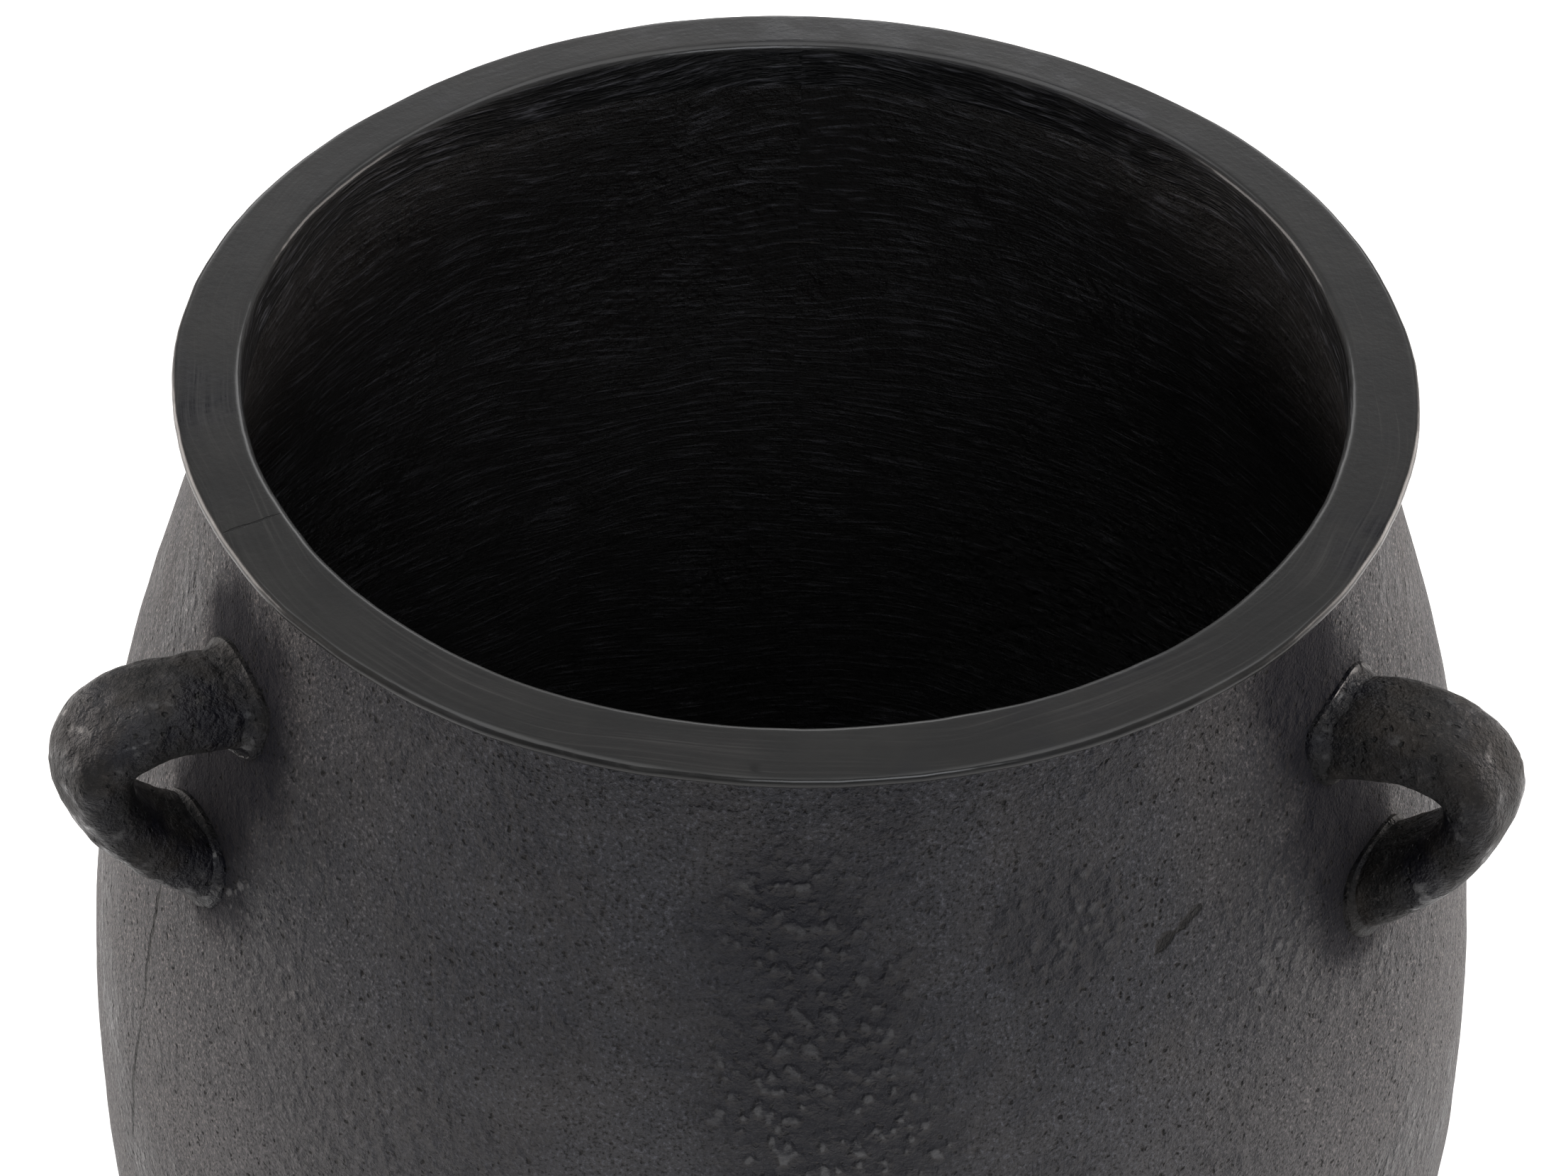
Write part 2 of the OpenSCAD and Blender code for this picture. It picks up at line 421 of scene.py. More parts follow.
def make_grain():
    """Gritty fired clay: fine grain on coarser lumps, scattered pits, and blisters for scorched places."""
    t, given, out = new_tree("clay_grain", "ShaderNodeTree", [
        ("Vector", "Vector", None), ("Grain size", "Float", 0.9 * MM), ("Pit size", "Float", 1.7 * MM),
        ("Pit share", "Float", 0.35),
    ], [("Height", "Float"), ("Pits", "Float"), ("Grit", "Float"), ("Blisters", "Float")])
    place = given["Vector"]
    fine = t.node("ShaderNodeTexNoise", {
        "Vector": place, "Scale": t.math("DIVIDE", 1.0, given["Grain size"]), "Detail": 3.0,
        "Roughness": 0.65}).outputs[0]
    coarse = t.node("ShaderNodeTexNoise", {
        "Vector": place, "Scale": t.math("DIVIDE", 0.17, given["Grain size"]), "Detail": 3.0}).outputs[0]
    bend = t.node("ShaderNodeTexNoise", {
        "Vector": place, "Scale": t.math("DIVIDE", 0.9, given["Pit size"]), "Detail": 2.0}).outputs["Color"]
    bent = t.vector("ADD", place, t.scaled(
        t.vector("SUBTRACT", bend, (0.5, 0.5, 0.5)), t.times(given["Pit size"], 1.3)))
    cells = t.node("ShaderNodeTexVoronoi", {
        "Vector": bent, "Scale": t.math("DIVIDE", 1.0, given["Pit size"])})
    chance = t.node("ShaderNodeSeparateColor", {0: cells.outputs["Color"]}).outputs[0]
    reach = t.ramp(chance, 0.0, given["Pit share"], 0.42, 0.05, smooth=False)
    pits = t.ramp(t.math("SUBTRACT", cells.outputs["Distance"], reach), -0.2, 0.05, 1.0, 0.0)
    pits = t.times(pits, t.math("LESS_THAN", chance, given["Pit share"]))
    bubble = t.node("ShaderNodeTexVoronoi", {
        "Vector": bent, "Scale": t.math("DIVIDE", 0.5, given["Pit size"])}, feature="SMOOTH_F1")
    blisters = t.ramp(bubble.outputs["Distance"], 0.0, 0.6, 1.0, 0.0)
    height = t.math("ADD", t.times(fine, 0.5), t.times(coarse, 0.9))
    height = t.math("SUBTRACT", height, t.times(pits, 0.35))
    for name, value in {"Height": height, "Pits": pits, "Grit": fine, "Blisters": blisters}.items():
        t.tree.links.new(value, out[name])
    return t.tree


def make_clouds():
    """Smoke clouds from the firing: burnished bluish patches and warm dusty ones."""
    t, given, out = new_tree("smoke_clouds", "ShaderNodeTree", [
        ("Vector", "Vector", None), ("Cloud size", "Float", 60 * MM), ("Cover", "Float", 0.5),
    ], [("Burnished", "Float"), ("Dusty", "Float")])
    scale = t.math("DIVIDE", 1.0, given["Cloud size"])
    cloud = t.node("ShaderNodeTexNoise", {
        "Vector": given["Vector"], "Scale": scale, "Detail": 6.0, "Roughness": 0.62}).outputs[0]
    apart = t.vector("ADD", given["Vector"], (3.7, 1.9, 5.3))
    dust = t.node("ShaderNodeTexNoise", {
        "Vector": apart, "Scale": t.times(scale, 1.7), "Detail": 5.0, "Roughness": 0.6}).outputs[0]
    edge = t.math("SUBTRACT", 0.78, t.times(given["Cover"], 0.4))
    burnished = t.ramp(cloud, t.math("SUBTRACT", edge, 0.12), t.math("ADD", edge, 0.1))
    t.tree.links.new(burnished, out["Burnished"])
    t.tree.links.new(t.ramp(dust, 0.42, 0.68), out["Dusty"])
    return t.tree


def make_hairline():
    """A drying crack between two points: 1 on the crack, 0 away from it."""
    t, given, out = new_tree("hairline", "ShaderNodeTree", [
        ("Vector", "Vector", None), ("From", "Vector", (0, 0, 0)), ("To", "Vector", (0, 0, 1)),
        ("Width", "Float", 0.4 * MM), ("Wander", "Float", 2 * MM),
    ], [("Crack", "Float")])
    noise = t.node("ShaderNodeTexNoise", {
        "Vector": given["Vector"], "Scale": 130.0, "Detail": 6.0, "Roughness": 0.75}).outputs["Color"]
    wander = t.scaled(t.vector("SUBTRACT", noise, (0.5, 0.5, 0.5)), given["Wander"])
    place = t.vector("SUBTRACT", t.vector("ADD", given["Vector"], wander), given["From"])
    along = t.vector("SUBTRACT", given["To"], given["From"])
    dot, square = (t.measure("DOT_PRODUCT", a, along) for a in (place, along))
    share = t.node("ShaderNodeClamp", {0: t.math("DIVIDE", dot, square)}).outputs[0]
    distance = t.measure("LENGTH", t.vector("SUBTRACT", place, t.scaled(along, share)))
    from_middle = t.math("ABSOLUTE", t.math("SUBTRACT", share, 0.5))
    tapered = t.times(given["Width"], t.ramp(from_middle, 0.2, 0.5, 1.0, 0.25))
    t.tree.links.new(t.ramp(t.math("DIVIDE", distance, tapered), 0.5, 1.1, 1.0, 0.0), out["Crack"])
    return t.tree


def make_blot():
    """A dark blot with a ragged edge round one point of the wall."""
    t, given, out = new_tree("smoke_blot", "ShaderNodeTree", [
        ("Vector", "Vector", None), ("Middle", "Vector", (0, 0, 0)), ("Reach", "Float", 40 * MM),
        ("Strength", "Float", 1.0),
    ], [("Blot", "Float")])
    noise = t.node("ShaderNodeTexNoise", {
        "Vector": given["Vector"], "Scale": 28.0, "Detail": 7.0, "Roughness": 0.68}).outputs[0]
    share = t.math("DIVIDE", t.measure("DISTANCE", given["Vector"], given["Middle"]), given["Reach"])
    ragged = t.math("ADD", share, t.times(t.math("SUBTRACT", noise, 0.5), 1.8))
    t.tree.links.new(t.times(t.ramp(ragged, 0.45, 1.25, 1.0, 0.0), given["Strength"]), out["Blot"])
    return t.tree


def make_wiping():
    """Marks of a wet hand or rib drawn round the pot: long streaks that follow the turn."""
    t, given, out = new_tree("wiping_streaks", "ShaderNodeTree", [
        ("Vector", "Vector", None), ("Streak width", "Float", 1.4 * MM),
        ("Streak length", "Float", 20 * MM),
    ], [("Streaks", "Float")])
    x, y, z = t.parts(given["Vector"])
    radius = t.measure("LENGTH", t.combined(x, y))
    turn = t.math("ARCTAN2", x, t.times(y, -1.0))
    sway = t.node("ShaderNodeTexNoise", {"Vector": given["Vector"], "Scale": 9.0}).outputs[0]
    level = t.math("ADD", z, t.times(sway, 30 * MM))
    drawn = t.combined(
        t.math("DIVIDE", t.times(turn, UNROLL_R), given["Streak length"]),
        t.math("DIVIDE", t.math("ADD", level, radius), given["Streak width"]))
    streaks = t.node("ShaderNodeTexNoise", {"Vector": drawn, "Scale": 1.0, "Detail": 4.0, "Roughness": 0.7})
    t.tree.links.new(streaks.outputs[0], out["Streaks"])
    return t.tree


def new_material(name, gloss=0.5, sheen=0.0):
    """A clay material with the values that are the same all over it, ready to be dressed."""
    m = bpy.data.materials.new(name)
    m.use_nodes = True
    t = Tree(m.node_tree)
    shader = m.node_tree.nodes["Principled BSDF"]
    shader.inputs["Sheen Weight"].default_value = sheen
    shader.inputs["Sheen Roughness"].default_value = 0.4
    shader.inputs["Sheen Tint"].default_value = (1.0, 0.84, 0.76, 1)
    shader.inputs["Specular IOR Level"].default_value = gloss
    place = t.node("ShaderNodeTexCoord").outputs["Object"]
    return m, t, shader, place


def dress(t, shader, height, depth, coat_roughness, **varying):
    """Feeds a finish into the shader: what varies over the surface by name, and the relief as bump."""
    shader.inputs["Coat Roughness"].default_value = coat_roughness
    for name, value in varying.items():
        t.tree.links.new(value, shader.inputs[name.replace("_", " ")])
    relief = t.node("ShaderNodeBump", {"Strength": 1.0, "Distance": depth, "Height": height})
    t.tree.links.new(relief.outputs[0], shader.inputs["Normal"])


GREY = (0.025, 0.0254, 0.0292, 1)
BLUE_BLACK = (0.0040, 0.0042, 0.0072, 1)
DUST = (0.046, 0.041, 0.038, 1)
BELLY_PALE_GREY = (0.072, 0.069, 0.071, 1)
# Pale warm grit of the sides: painted sheen of the grazing side light
SIDE_SHEEN_GRIT = (0.150, 0.128, 0.120, 1)
COOL_GRIT = (0.066, 0.066, 0.078, 1)
PIT_BLACK = (0.002, 0.002, 0.002, 1)
# Painted shade: the inside of the pot is coloured near-black
INSIDE_SHADE_BLACK = (0.0035, 0.0035, 0.0038, 1)
INSIDE_WIPING_GREY = (0.062, 0.062, 0.070, 1)
RIM_BLACK = (0.0045, 0.0045, 0.0045, 1)
RIM_DUST = (0.0095, 0.0092, 0.0086, 1)
RIM_WIPED = (0.026, 0.0255, 0.0245, 1)
STRAP_BLACK = (0.0045, 0.0042, 0.0042, 1)
STRAP_BROWN = (0.0115, 0.0095, 0.0080, 1)
ROOT_BLACK = (0.0045, 0.0043, 0.0043, 1)
ROOT_BROWN = (0.0085, 0.0075, 0.0070, 1)
PALE = (0.9, 0.9, 0.9, 1)

# Painted shade: the wall is painted dark round the handle roots and in the handles' eyes, where the handles
# shade it.
# Turn from the front in degrees, height, reach, strength
HANDLE_SHADE_BLOTS = [
    (-60, 0.397, 0.018, 1.0), (-54, 0.392, 0.021, 1.0), (-53, 0.376, 0.022, 1.0), (-55, 0.359, 0.022, 1.0),
    (-53, 0.344, 0.017, 0.9), (51, 0.404, 0.022, 1.0), (53, 0.389, 0.024, 1.0), (53, 0.371, 0.024, 1.0),
    (54, 0.355, 0.022, 1.0), (53, 0.341, 0.017, 0.9), (176, 0.396, 0.026, 1.0), (179, 0.372, 0.026, 1.0),
    (-178, 0.350, 0.024, 0.9),
]

# Smoke left blistered, shiny dark blots: turn, height, reach, strength
SCORCHES = [
    (0.5, 0.386, 0.022, 1.0), (3, 0.364, 0.026, 1.0), (4, 0.338, 0.030, 1.0), (1, 0.300, 0.036, 0.8),
    (23, 0.379, 0.018, 0.8), (-28, 0.300, 0.040, 0.5), (95, 0.300, 0.055, 0.7), (-110, 0.260, 0.070, 0.7),
    (140, 0.200, 0.075, 0.7), (-160, 0.330, 0.050, 0.6), (40, 0.160, 0.080, 0.6), (-60, 0.090, 0.080, 0.7),
]

# Drying cracks on the wall: turn and height of both ends, width, wander
WALL_CRACKS = [
    ((-60.6, 0.330), (-59.7, 0.281), 0.8 * MM, 4 * MM), ((-59.7, 0.284), (-60.5, 0.226), 0.8 * MM, 4 * MM),
    ((30.9, 0.3655), (33.2, 0.3690), 1.5 * MM, 4 * MM), ((33.0, 0.3680), (36.4, 0.3722), 1.3 * MM, 5 * MM),
    ((150, 0.300), (158, 0.255), 0.5 * MM, 5 * MM),
]


def on_wall(turn, height):
    """The place of a mark on the unrolled wall."""
    return (math.radians(turn) * UNROLL_R, height, 0.0)


def make_unrolled():
    """The wall laid flat: arc from the front across, height up."""
    t, given, out = new_tree("unrolled_wall", "ShaderNodeTree", [
        ("Vector", "Vector", None)], [("Flat", "Vector")])
    x, y, z = t.parts(given["Vector"])
    turn = t.math("ARCTAN2", x, t.times(y, -1.0))
    t.tree.links.new(t.combined(t.times(turn, UNROLL_R), z), out["Flat"])
    return t.tree


def inside_shade_and_wiping(t, finishes, place):
    """Colour and relief of the inside, painted near-black as shade, with the potter's wiping marks."""
    streaks = group_in(t, finishes["wiping"], {"Vector": place})["Streaks"]
    return t.mix(t.ramp(streaks, 0.50, 0.74), INSIDE_SHADE_BLACK, INSIDE_WIPING_GREY), streaks


def blots_on(t, finishes, flat, places):
    """How much of the unrolled wall a list of blots covers."""
    covered = 0.0
    for turn, level, reach, strength in places:
        blot = group_in(t, finishes["blot"], {
            "Vector": flat, "Middle": on_wall(turn, level), "Reach": reach, "Strength": strength})
        covered = t.math("MAXIMUM", covered, blot["Blot"])
    return covered


def wall_material(finishes):
    """Gritty grey clay, smoke-blackened in places, with painted shade round the handles and a near-black
    inside painted as shade.
    """
    m, t, shader, place = new_material("smoked_wall_clay", gloss=0.16, sheen=0.02)
    flat = group_in(t, finishes["unrolled"], {"Vector": place})["Flat"]
    grain = group_in(t, finishes["grain"], {"Vector": place, "Pit share": 0.5})
    smoke = group_in(t, finishes["clouds"], {"Vector": place, "Cloud size": 45 * MM, "Cover": 0.55})
    shaded_inside = t.node("ShaderNodeAttribute", attribute_name="shaded_inside").outputs["Fac"]
    scorched = t.math("MAXIMUM", t.times(smoke["Burnished"], 0.6), blots_on(t, finishes, flat, SCORCHES))
    # Painted shade round the handle roots and in their eyes, where the handles shade the wall
    handle_shade = blots_on(t, finishes, flat, HANDLE_SHADE_BLOTS)
    dark = t.math("MAXIMUM", scorched, handle_shade)

    # The grit crests turn paler and warmer towards the sides, a painted sheen of the grazing side light; the
    # sides are more pitted than the front, and the belly is paler
    across = t.math("ABSOLUTE", t.parts(flat)[0])
    side_sheen = t.ramp(across, on_wall(25, 0)[0], on_wall(60, 0)[0])
    pits = t.times(grain["Pits"], t.ramp(across, on_wall(6, 0)[0], on_wall(24, 0)[0], 0.35, 1.0))
    belly = t.ramp(t.parts(place)[2], 0.36, 0.26, 0.0, 0.75)
    colour = t.mix(t.times(smoke["Dusty"], 0.35), GREY, DUST)
    # The belly and the wall below it are paler
    colour = t.mix(belly, colour, BELLY_PALE_GREY)
    colour = t.mix(t.ramp(grain["Grit"], 0.48, 0.33, 0.0, 0.9), colour, PIT_BLACK)
    # Painted sheen: grit crests paler and warmer towards the sides, where the side light grazes
    colour = t.mix(t.ramp(grain["Grit"], 0.53, 0.70, 0.0, 0.8), colour, t.mix(side_sheen, COOL_GRIT, SIDE_SHEEN_GRIT))
    colour = t.mix(t.times(dark, 0.95), colour, BLUE_BLACK)
    colour = t.mix(pits, colour, PIT_BLACK)
    height = grain["Height"]
    for start, end, width, wander in WALL_CRACKS:
        crack = group_in(t, finishes["hairline"], {
            "Vector": flat, "From": on_wall(*start), "To": on_wall(*end), "Width": width,
            "Wander": wander})["Crack"]
        colour = t.mix(crack, colour, PIT_BLACK)
        height = t.math("SUBTRACT", height, crack)
    inside_shade_colour, streaks = inside_shade_and_wiping(t, finishes, place)
    # Painted shade: the inside is coloured near-black
    colour = t.mix(shaded_inside, colour, inside_shade_colour)
    height = t.math("ADD", height, t.times(t.times(streaks, shaded_inside), 1.2))
    height = t.math("ADD", height, t.times(t.times(grain["Blisters"], scorched), 1.1))

    crests = t.math("SUBTRACT", t.ramp(grain["Grit"], 0.54, 0.68), handle_shade)
    rough = t.math("SUBTRACT", 0.62, t.times(scorched, 0.25))
    # Rougher in the painted handle shade
    rough = t.math("ADD", rough, t.times(handle_shade, 0.3))
    rough = t.math("SUBTRACT", rough, t.times(crests, 0.14))
    rough = t.math("ADD", rough, t.times(pits, 0.2))
    rough = t.math("SUBTRACT", rough, t.times(shaded_inside, 0.18))
    shine = t.times(t.ramp(scorched, 0.35, 0.95), t.ramp(grain["Blisters"], 0.5, 0.9, 0.05, 0.8))
    coat = t.math("MAXIMUM", shine, t.times(crests, 0.08))
    dress(t, shader, height, 2.6 * MM, 0.2, Base_Color=colour, Roughness=rough, Coat_Weight=coat)
    return m


def rim_material(finishes, seam):
    """Clay smoothed with a wet rib, its edges rubbed to a shine, with the seam where the coil closes."""
    m, t, shader, place = new_material("smoothed_rim_clay", gloss=0.11)
    marks = group_in(t, finishes["grain"], {
        "Vector": place, "Grain size": 1.6 * MM, "Pit size": 7 * MM, "Pit share": 0.05})
    smoke = group_in(t, finishes["clouds"], {"Vector": place, "Cloud size": 40 * MM, "Cover": 0.4})
    wiped = group_in(t, finishes["wiping"], {
        "Vector": place, "Streak width": 0.8 * MM, "Streak length": 60 * MM})["Streaks"]
    shaded_inside = t.node("ShaderNodeAttribute", attribute_name="shaded_inside").outputs["Fac"]
    crack = group_in(t, finishes["hairline"], {
        "Vector": place, "From": seam[0], "To": seam[1], "Width": 0.5 * MM, "Wander": 2.5 * MM})["Crack"]
    inside_shade_colour, streaks = inside_shade_and_wiping(t, finishes, place)
    colour = t.mix(t.times(smoke["Dusty"], 0.5), RIM_BLACK, RIM_DUST)
    colour = t.mix(t.times(smoke["Burnished"], 0.5), colour, BLUE_BLACK)
    colour = t.mix(t.ramp(wiped, 0.5, 0.8, 0.0, 0.7), colour, RIM_WIPED)
    colour = t.mix(t.math("MAXIMUM", marks["Pits"], crack), colour, PIT_BLACK)
    # Painted shade: the inside of the mouth is coloured near-black, darker further down
    colour = t.mix(shaded_inside, colour, inside_shade_colour)
    rough = t.ramp(smoke["Burnished"], 0.0, 1.0, 0.46, 0.32)
    rough = t.math("ADD", rough, t.ramp(wiped, 0.35, 0.65, -0.09, 0.09))

    x, y, z = t.parts(place)
    from_axis = t.measure("LENGTH", t.combined(x, y))
    outer_edge = t.ramp(from_axis, RIM_R - 1.8 * MM, RIM_R - 0.8 * MM)
    mouth_edge = t.ramp(from_axis, MOUTH_R + 0.9 * MM, MOUTH_R + 2.2 * MM, 1.0, 0.0)
    near_top = t.ramp(z, POT_H - 5 * MM, POT_H - 3 * MM)
    rubbed = t.times(t.math("MAXIMUM", outer_edge, mouth_edge), near_top)
    height = t.math("SUBTRACT", t.times(marks["Height"], 0.12), t.times(crack, 0.4))
    height = t.math("ADD", height, t.times(t.times(streaks, shaded_inside), 1.2))
    dress(t, shader, height, 1.2 * MM, 0.16,
          Base_Color=colour, Roughness=rough, Coat_Weight=t.times(rubbed, 0.35))
    return m


def handle_material(name, finishes, plain, brown):
    """Dark clay worked with wet fingers: brownish, with burnished, blistered and glossy places."""
    m, t, shader, place = new_material(name, gloss=0.15)
    marks = group_in(t, finishes["grain"], {
        "Vector": place, "Grain size": 1.1 * MM, "Pit size": 2.0 * MM, "Pit share": 0.5})
    smoke = group_in(t, finishes["clouds"], {"Vector": place, "Cloud size": 22 * MM, "Cover": 0.6})
    colour = t.mix(smoke["Dusty"], plain, brown)
    colour = t.mix(t.ramp(marks["Grit"], 0.54, 0.72, 0.0, 0.5), colour, DUST)
    colour = t.mix(t.times(smoke["Burnished"], 0.7), colour, BLUE_BLACK)
    colour = t.mix(marks["Pits"], colour, PIT_BLACK)
    rough = t.ramp(smoke["Burnished"], 0.0, 1.0, 0.6, 0.3)
    shine = t.times(smoke["Burnished"], t.ramp(marks["Blisters"], 0.4, 0.9, 0.05, 0.6))
    height = t.math("ADD", marks["Height"], t.times(marks["Blisters"], 0.3))
    dress(t, shader, height, 1.6 * MM, 0.18, Base_Color=colour, Roughness=rough, Coat_Weight=shine)
    return m


def floor_material():
    m, _, shader, _ = new_material("pale_floor")
    shader.inputs["Roughness"].default_value = 0.9
    shader.inputs["Base Color"].default_value = PALE
    return m


# ---------------------------------------------------------------- pieces
def as_object(name, mesh):
    ob = bpy.data.objects.new(name, mesh)
    bpy.context.scene.collection.objects.link(ob)
    return ob


def worked(name, mesh, tree, settings):
    """The mesh put through a node tree and made plain, closed and facing outwards."""
    raw = as_object(name + "_raw", mesh)
    modifier = raw.modifiers.new(tree.name, "NODES")
    modifier.node_group = tree
    for item in tree.interface.items_tree:
        if item.in_out == "INPUT" and item.name in settings:
            modifier[item.identifier] = settings[item.name]
    depsgraph = bpy.context.evaluated_depsgraph_get()
    plain = bpy.data.meshes.new_from_object(raw.evaluated_get(depsgraph))
    bpy.data.objects.remove(raw)
    plain.name = name
    bm = bmesh.new()
    bm.from_mesh(plain)
    bmesh.ops.recalc_face_normals(bm, faces=bm.faces)
    open_edges = sum(1 for e in bm.edges if len(e.link_faces) != 2)
    bm.to_mesh(plain)
    bm.free()
    if open_edges:
        print(f"{name}: {open_edges} edges aren't closed")
    return as_object(name, plain)


def place_piece(piece, node):
    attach(piece, "root")
    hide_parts(node)
    return piece


def turned_piece(node, section, slot, tree, steps, material, **hand):
    """A course or the rim: its section turned once round the axis."""
    points, shaded_inside, closed = section
    mesh = bpy.data.meshes.new(node + "_section")
    mesh.from_pydata([(p[0], 0, p[1]) for p in points], [(k, k + 1) for k in range(len(points) - 1)], [])
    mesh.attributes.new("shaded_inside", "FLOAT", "POINT").data.foreach_set("value", np.array(shaded_inside, "f"))
    piece = worked("clay_" + node, mesh, tree, {
        "Steps round": steps, "Closed": closed, "Material": material, **hand})
    return place_piece(piece, node)


def wall_spot(u, across, turn, out=0.0):
    """A point on or off the wall, an arc length across from the middle of a handle."""
    curve, t = wall_piece(u)
    s = slope(curve, t)
    point = bezier(curve, t) + out * np.array([s[1], -s[0]])
    a = math.radians(turn) + across / point[0]
    return np.array([point[0] * math.cos(a), point[0] * math.sin(a), point[1]])


STRAP_CURVE = np.array([
    wall_point(UPPER_ROOT), wall_point(UPPER_ROOT) + np.array([42, 21.5]) * MM,
    wall_point(LOWER_ROOT) + np.array([32, 29.5]) * MM, wall_point(LOWER_ROOT),
])


def fading(distance, reach):
    return math.exp(-((distance / reach) ** 2))


def strap_piece(name, turn, tree, material, seed):
    """A hand-pulled strap, fatter on the side of the eye and where it meets the wall."""
    out = np.array([math.cos(math.radians(turn)), math.sin(math.radians(turn))])
    places, thick = [], []
    for k in range(STRAP_STATIONS + 1):
        t = k / STRAP_STATIONS
        s = slope(STRAP_CURVE, t)
        square = np.array([-s[1], s[0]])
        root = ROOT_CLAY * (fading(t, ROOT_REACH) + fading(1 - t, ROOT_REACH))
        outer = bezier(STRAP_CURVE, t) + (STRAP_T / 2 + root) * square
        inner = bezier(STRAP_CURVE, t) - (STRAP_T / 2 + EYE_CLAY + root) * square
        places.append((outer + inner) / 2)
        thick.append((outer - inner) / 2)

    # Two short steps into the wall at each end, and then a point that closes it
    first, last = slope(STRAP_CURVE, 0.0), slope(STRAP_CURVE, 1.0)
    for _ in range(2):
        places = [places[0] - ROOT_DEPTH / 2 * first] + places + [places[-1] + ROOT_DEPTH / 2 * last]
        thick = [thick[0]] + thick + [thick[-1]]
    places = [places[0]] + places + [places[-1]]
    thick = [thick[0] * 0] + thick + [thick[-1] * 0]

    thick_ways, wide_ways = [], []
    for k, n in enumerate(thick):
        t = k / (len(thick) - 1)
        flare = 1 + 0.06 * fading(t, FLARE_REACH) + 0.10 * fading(1 - t, FLARE_REACH)
        pinch = 1 + 0.05 * math.sin(9 * t + turn)
        half = 1 + 0.05 * math.sin(7 * t + 0.02 * turn)
        thick_ways += [n[0] * out[0] * half, n[0] * out[1] * half, n[1] * half]
        w = STRAP_W / 2 * flare * pinch * (0 if np.allclose(n, 0) else 1)
        wide_ways += [-out[1] * w, out[0] * w, 0]
    mesh = bpy.data.meshes.new("strap_line")
    rows = [(p[0] * out[0], p[0] * out[1], p[1]) for p in places]
    mesh.from_pydata(rows, [(k, k + 1) for k in range(len(rows) - 1)], [])
    for label, ways in {"thick": thick_ways, "wide": wide_ways}.items():
        carried = mesh.attributes.new(label, "FLOAT_VECTOR", "POINT")
        carried.data.foreach_set("vector", np.array(ways, "f"))
    piece = worked("clay_handle_" + name, mesh, tree, {
        "Steps round": STRAP_STEPS_ROUND, "Squareness": 0.72, "Material": material, "Radial": False,
        "Presses": 1.3 * MM, "Press size": 12 * MM, "Seed": seed, "Wobble": WOBBLE,
        "Wobble size": WOBBLE_SIZE})
    return place_piece(piece, "handle_" + name)


def wad_piece(level, name, turn, tree, material, seed):
    """Luting clay smeared round one root: a hollow curve from the strap down to the wall, closed below."""
    upper = level == "upper"
    u = UPPER_ROOT if upper else LOWER_ROOT
    curve, t = wall_piece(u)
    up_wall = slope(curve, t)
    out_wall = np.array([up_wall[1], -up_wall[0]])
    leave = slope(STRAP_CURVE, 0.0) if upper else -slope(STRAP_CURVE, 1.0)
    lean = float(leave @ up_wall) / float(leave @ out_wall)
    half_w = STRAP_W / 2 * WAD_WIDER
    half_t = (STRAP_T / 2 + WAD_PROUD) / float(leave @ out_wall)
    length = np.linalg.norm(3 * (curve[1] - curve[0]) * (1 - t) ** 2
                            + 6 * (curve[2] - curve[1]) * (1 - t) * t + 3 * (curve[3] - curve[2]) * t * t)
    dice = np.random.default_rng(seed)
    waves = [(dice.uniform(0, math.tau), dice.uniform(0.5, 1)) for _ in range(4)]
    rows = []
    for i in range(WAD_STEPS_ROUND):
        a = math.tau * i / WAD_STEPS_ROUND
        uneven = sum(size * math.sin((k + 2) * a + start) for k, (start, size) in enumerate(waves)) / 4
        spread = WAD_SPREAD + WAD_UNEVEN * uneven
        profile = [(-WAD_UNDER + (spread + WAD_UNDER) * q,
                    WAD_EDGE + (WAD_CLIMB - WAD_EDGE) * (1 - q) ** WAD_HOLLOW)
                   for q in np.linspace(0, 1, WAD_STEPS_DOWN)]
        profile += [(spread + 0.5 * MM, -0.6 * MM), (spread, -WAD_DEPTH), (-WAD_UNDER, -WAD_DEPTH)]
        c, s = (math.copysign(abs(wave) ** WAD_SQUARENESS, wave) for wave in (math.cos(a), math.sin(a)))
        for e, h in profile:
            up = (half_t + e) * s + h * lean
            rows.append(tuple(wall_spot(u + up / length, (half_w + e) * c, turn, h)))
    per = len(profile)
    faces = []
    for i in range(WAD_STEPS_ROUND):
        here, there = i * per, (i + 1) % WAD_STEPS_ROUND * per
        faces += [(here + j, there + j, there + (j + 1) % per, here + (j + 1) % per) for j in range(per)]
    mesh = bpy.data.meshes.new("wad_shape")
    mesh.from_pydata(rows, [], faces)
    node = f"{level}_wad_{name}"
    piece = worked("clay_" + node, mesh, tree, {
        "Material": material, "Radial": False, "Presses": 0.5 * MM, "Press size": 8 * MM,
        "Seed": float(seed), "Wobble": WOBBLE, "Wobble size": WOBBLE_SIZE})
    return place_piece(piece, node)


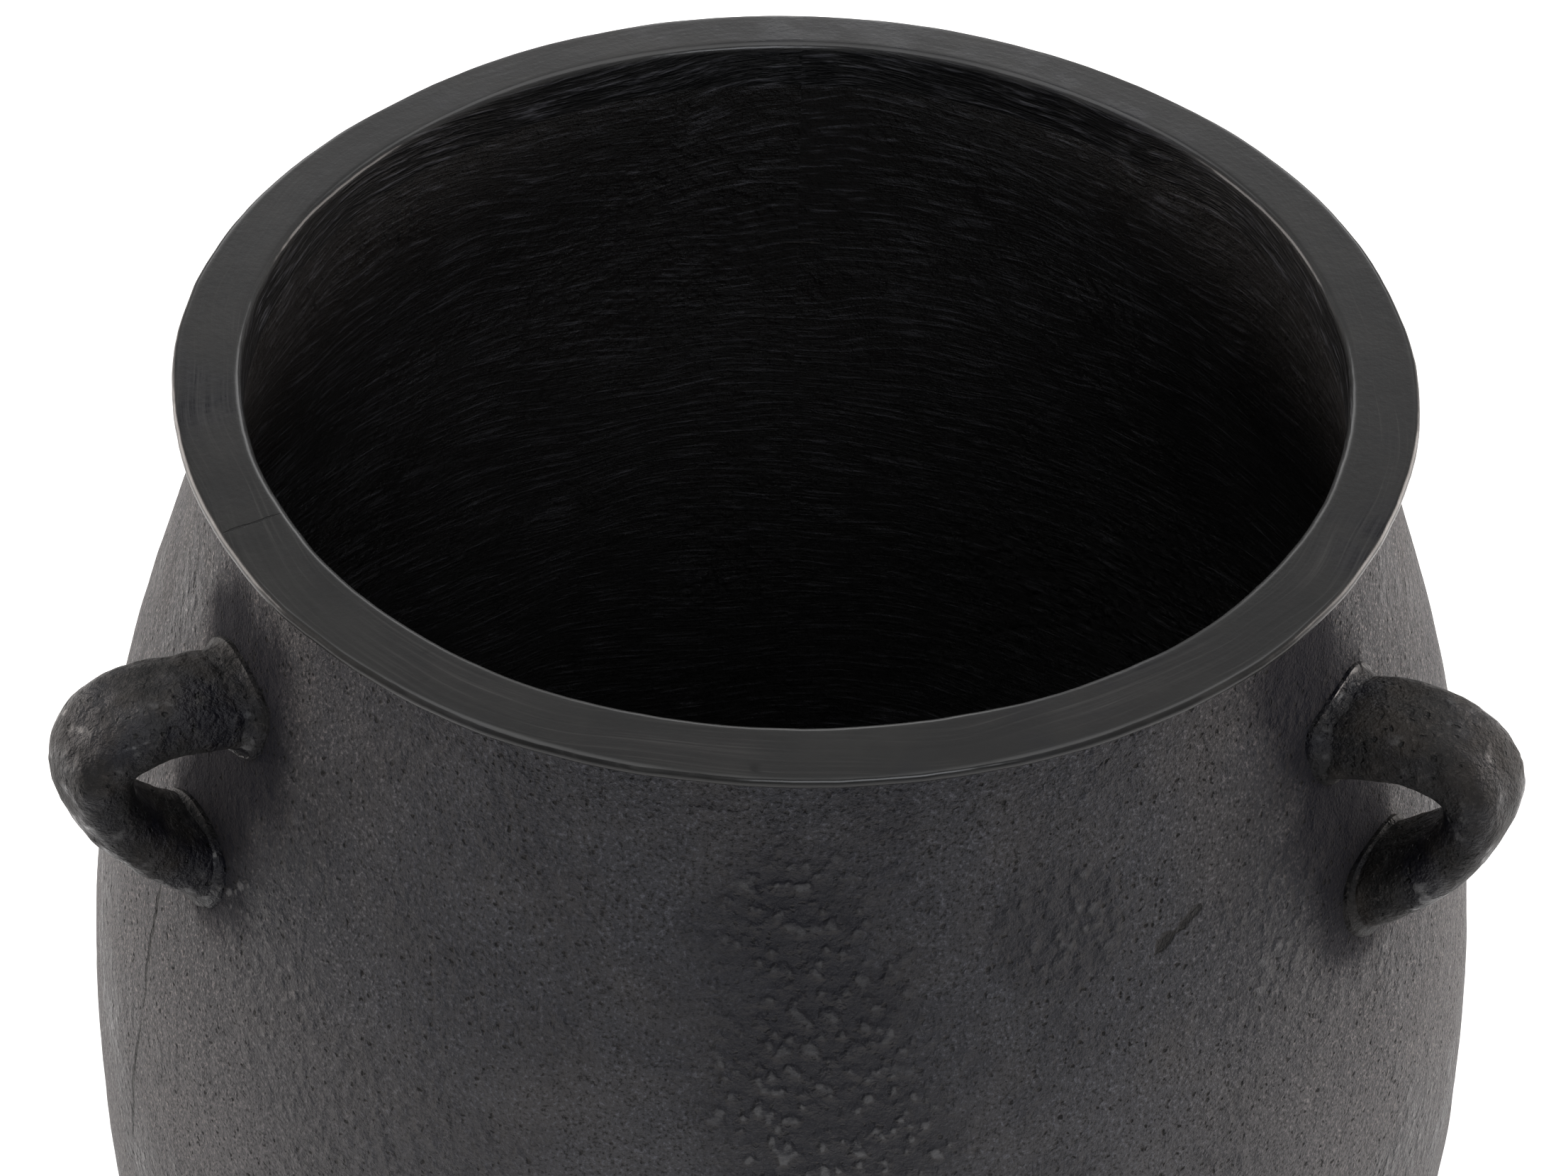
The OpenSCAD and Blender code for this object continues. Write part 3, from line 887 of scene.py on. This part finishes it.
def build_pot():
    hand_work = make_hand_work()
    turning = make_turning(hand_work)
    pulling = make_pulling(hand_work)
    smearing = make_smearing(hand_work)
    finishes = {"grain": make_grain(), "clouds": make_clouds(), "hairline": make_hairline(),
                "blot": make_blot(), "wiping": make_wiping(), "unrolled": make_unrolled()}
    seam = [(math.cos(SEAM_TURN) * r, math.sin(SEAM_TURN) * r, POT_H) for r in (MOUTH_R, RIM_R)]
    wall = wall_material(finishes)
    rim = rim_material(finishes, seam)
    strap = handle_material("hand_formed_handle_clay", finishes, STRAP_BLACK, STRAP_BROWN)
    smear = handle_material("smeared_root_clay", finishes, ROOT_BLACK, ROOT_BROWN)
    hand = {
        "Wobble": WOBBLE, "Wobble size": WOBBLE_SIZE, "Presses": 0.7 * MM, "Press size": 30 * MM,
        "Radial": True,
    }
    courses = {
        "base_disc": base_section(),
        "lower_bowl": course_section(FLOOR_LAP, BOWL_LAP, BOWL_GAP),
        "belly_course": course_section(BOWL_LAP, BELLY_LAP, COURSE_GAP),
        "shoulder_course": course_section(BELLY_LAP, SHOULDER_LAP, COURSE_GAP),
        "neck_course": course_section(SHOULDER_LAP, RIM_LAP, COURSE_GAP),
    }
    for node, section in courses.items():
        turned_piece(node, section, "wall_clay", turning, STEPS_ROUND, wall, **hand)
    turned_piece("rim_coil", rim_section(), "rim_clay", turning, RIM_STEPS_ROUND, rim, **hand)
    for seed, (name, turn) in enumerate(HANDLES.items(), start=1):
        strap_piece(name, turn, pulling, strap, float(seed))
        wad_piece("upper", name, turn, smearing, smear, seed)
        wad_piece("lower", name, turn, smearing, smear, seed + 10)


# ---------------------------------------------------------------- room, light and camera
FLOOR_REACH = 6.0        # metres from the middle to its edges
LIT_SPOT = Vector((0, 0, 0.3))
WARM = (1.0, 0.92, 0.87)
COOL = (0.94, 0.96, 1.0)


def area_light(name, place, size, power, colour=(1, 1, 1)):
    """A softbox that faces the pot."""
    lamp = bpy.data.lights.new(name, "AREA")
    lamp.shape = "RECTANGLE"
    lamp.size, lamp.size_y = size
    lamp.energy = power
    lamp.color = colour
    ob = bpy.data.objects.new(name, lamp)
    ob.location = place
    ob.rotation_euler = (LIT_SPOT - Vector(place)).to_track_quat("-Z", "Y").to_euler()
    bpy.context.scene.collection.objects.link(ob)


def build_room():
    mesh = bpy.data.meshes.new("pale_floor")
    corners = [(-1, -1), (1, -1), (1, 1), (-1, 1)]
    mesh.from_pydata([(x * FLOOR_REACH, y * FLOOR_REACH, 0) for x, y in corners], [], [(0, 1, 2, 3)])
    mesh.materials.append(floor_material())
    as_object("pale_floor", mesh)
    world = bpy.data.worlds.new("studio")
    world.use_nodes = True
    background = world.node_tree.nodes["Background"]
    background.inputs["Color"].default_value = (1, 1, 1, 1)
    background.inputs["Strength"].default_value = 0.3
    bpy.context.scene.world = world
    for side_sheen, x in {"left": -1.7, "right": 1.7}.items():
        area_light(side_sheen + "_softbox", (x, 0.6, 0.7), (1.2, 1.0), 34, WARM)
    area_light("back_softbox", (0, 2.0, 1.15), (2.2, 0.7), 20)
    area_light("front_softbox", (0.4, -1.7, 1.5), (1.0, 0.7), 18, COOL)
    area_light("top_softbox", (0, 0.2, 2.4), (2.4, 2.4), 60)


LOOK_DOWN = math.radians(42.31)
ROLL = math.radians(1.327)
CAMERA_PLACE = Vector((-0.0108, -3.631, 2.753))     # from the middle of the rim, in rim radii


def build_camera():
    data = bpy.data.cameras.new("view")
    data.sensor_width = 36
    data.lens = 64.2
    ob = bpy.data.objects.new("view", data)
    ob.location = Vector((0, 0, POT_H)) + RIM_R * CAMERA_PLACE
    tilt = math.pi / 2 - LOOK_DOWN
    ob.rotation_euler = (Matrix.Rotation(tilt, 3, "X") @ Matrix.Rotation(ROLL, 3, "Z")).to_euler()
    bpy.context.scene.collection.objects.link(ob)
    bpy.context.scene.camera = ob


build_camera()
build_room()
build_pot()
bpy.context.scene.view_settings.view_transform = "Standard"
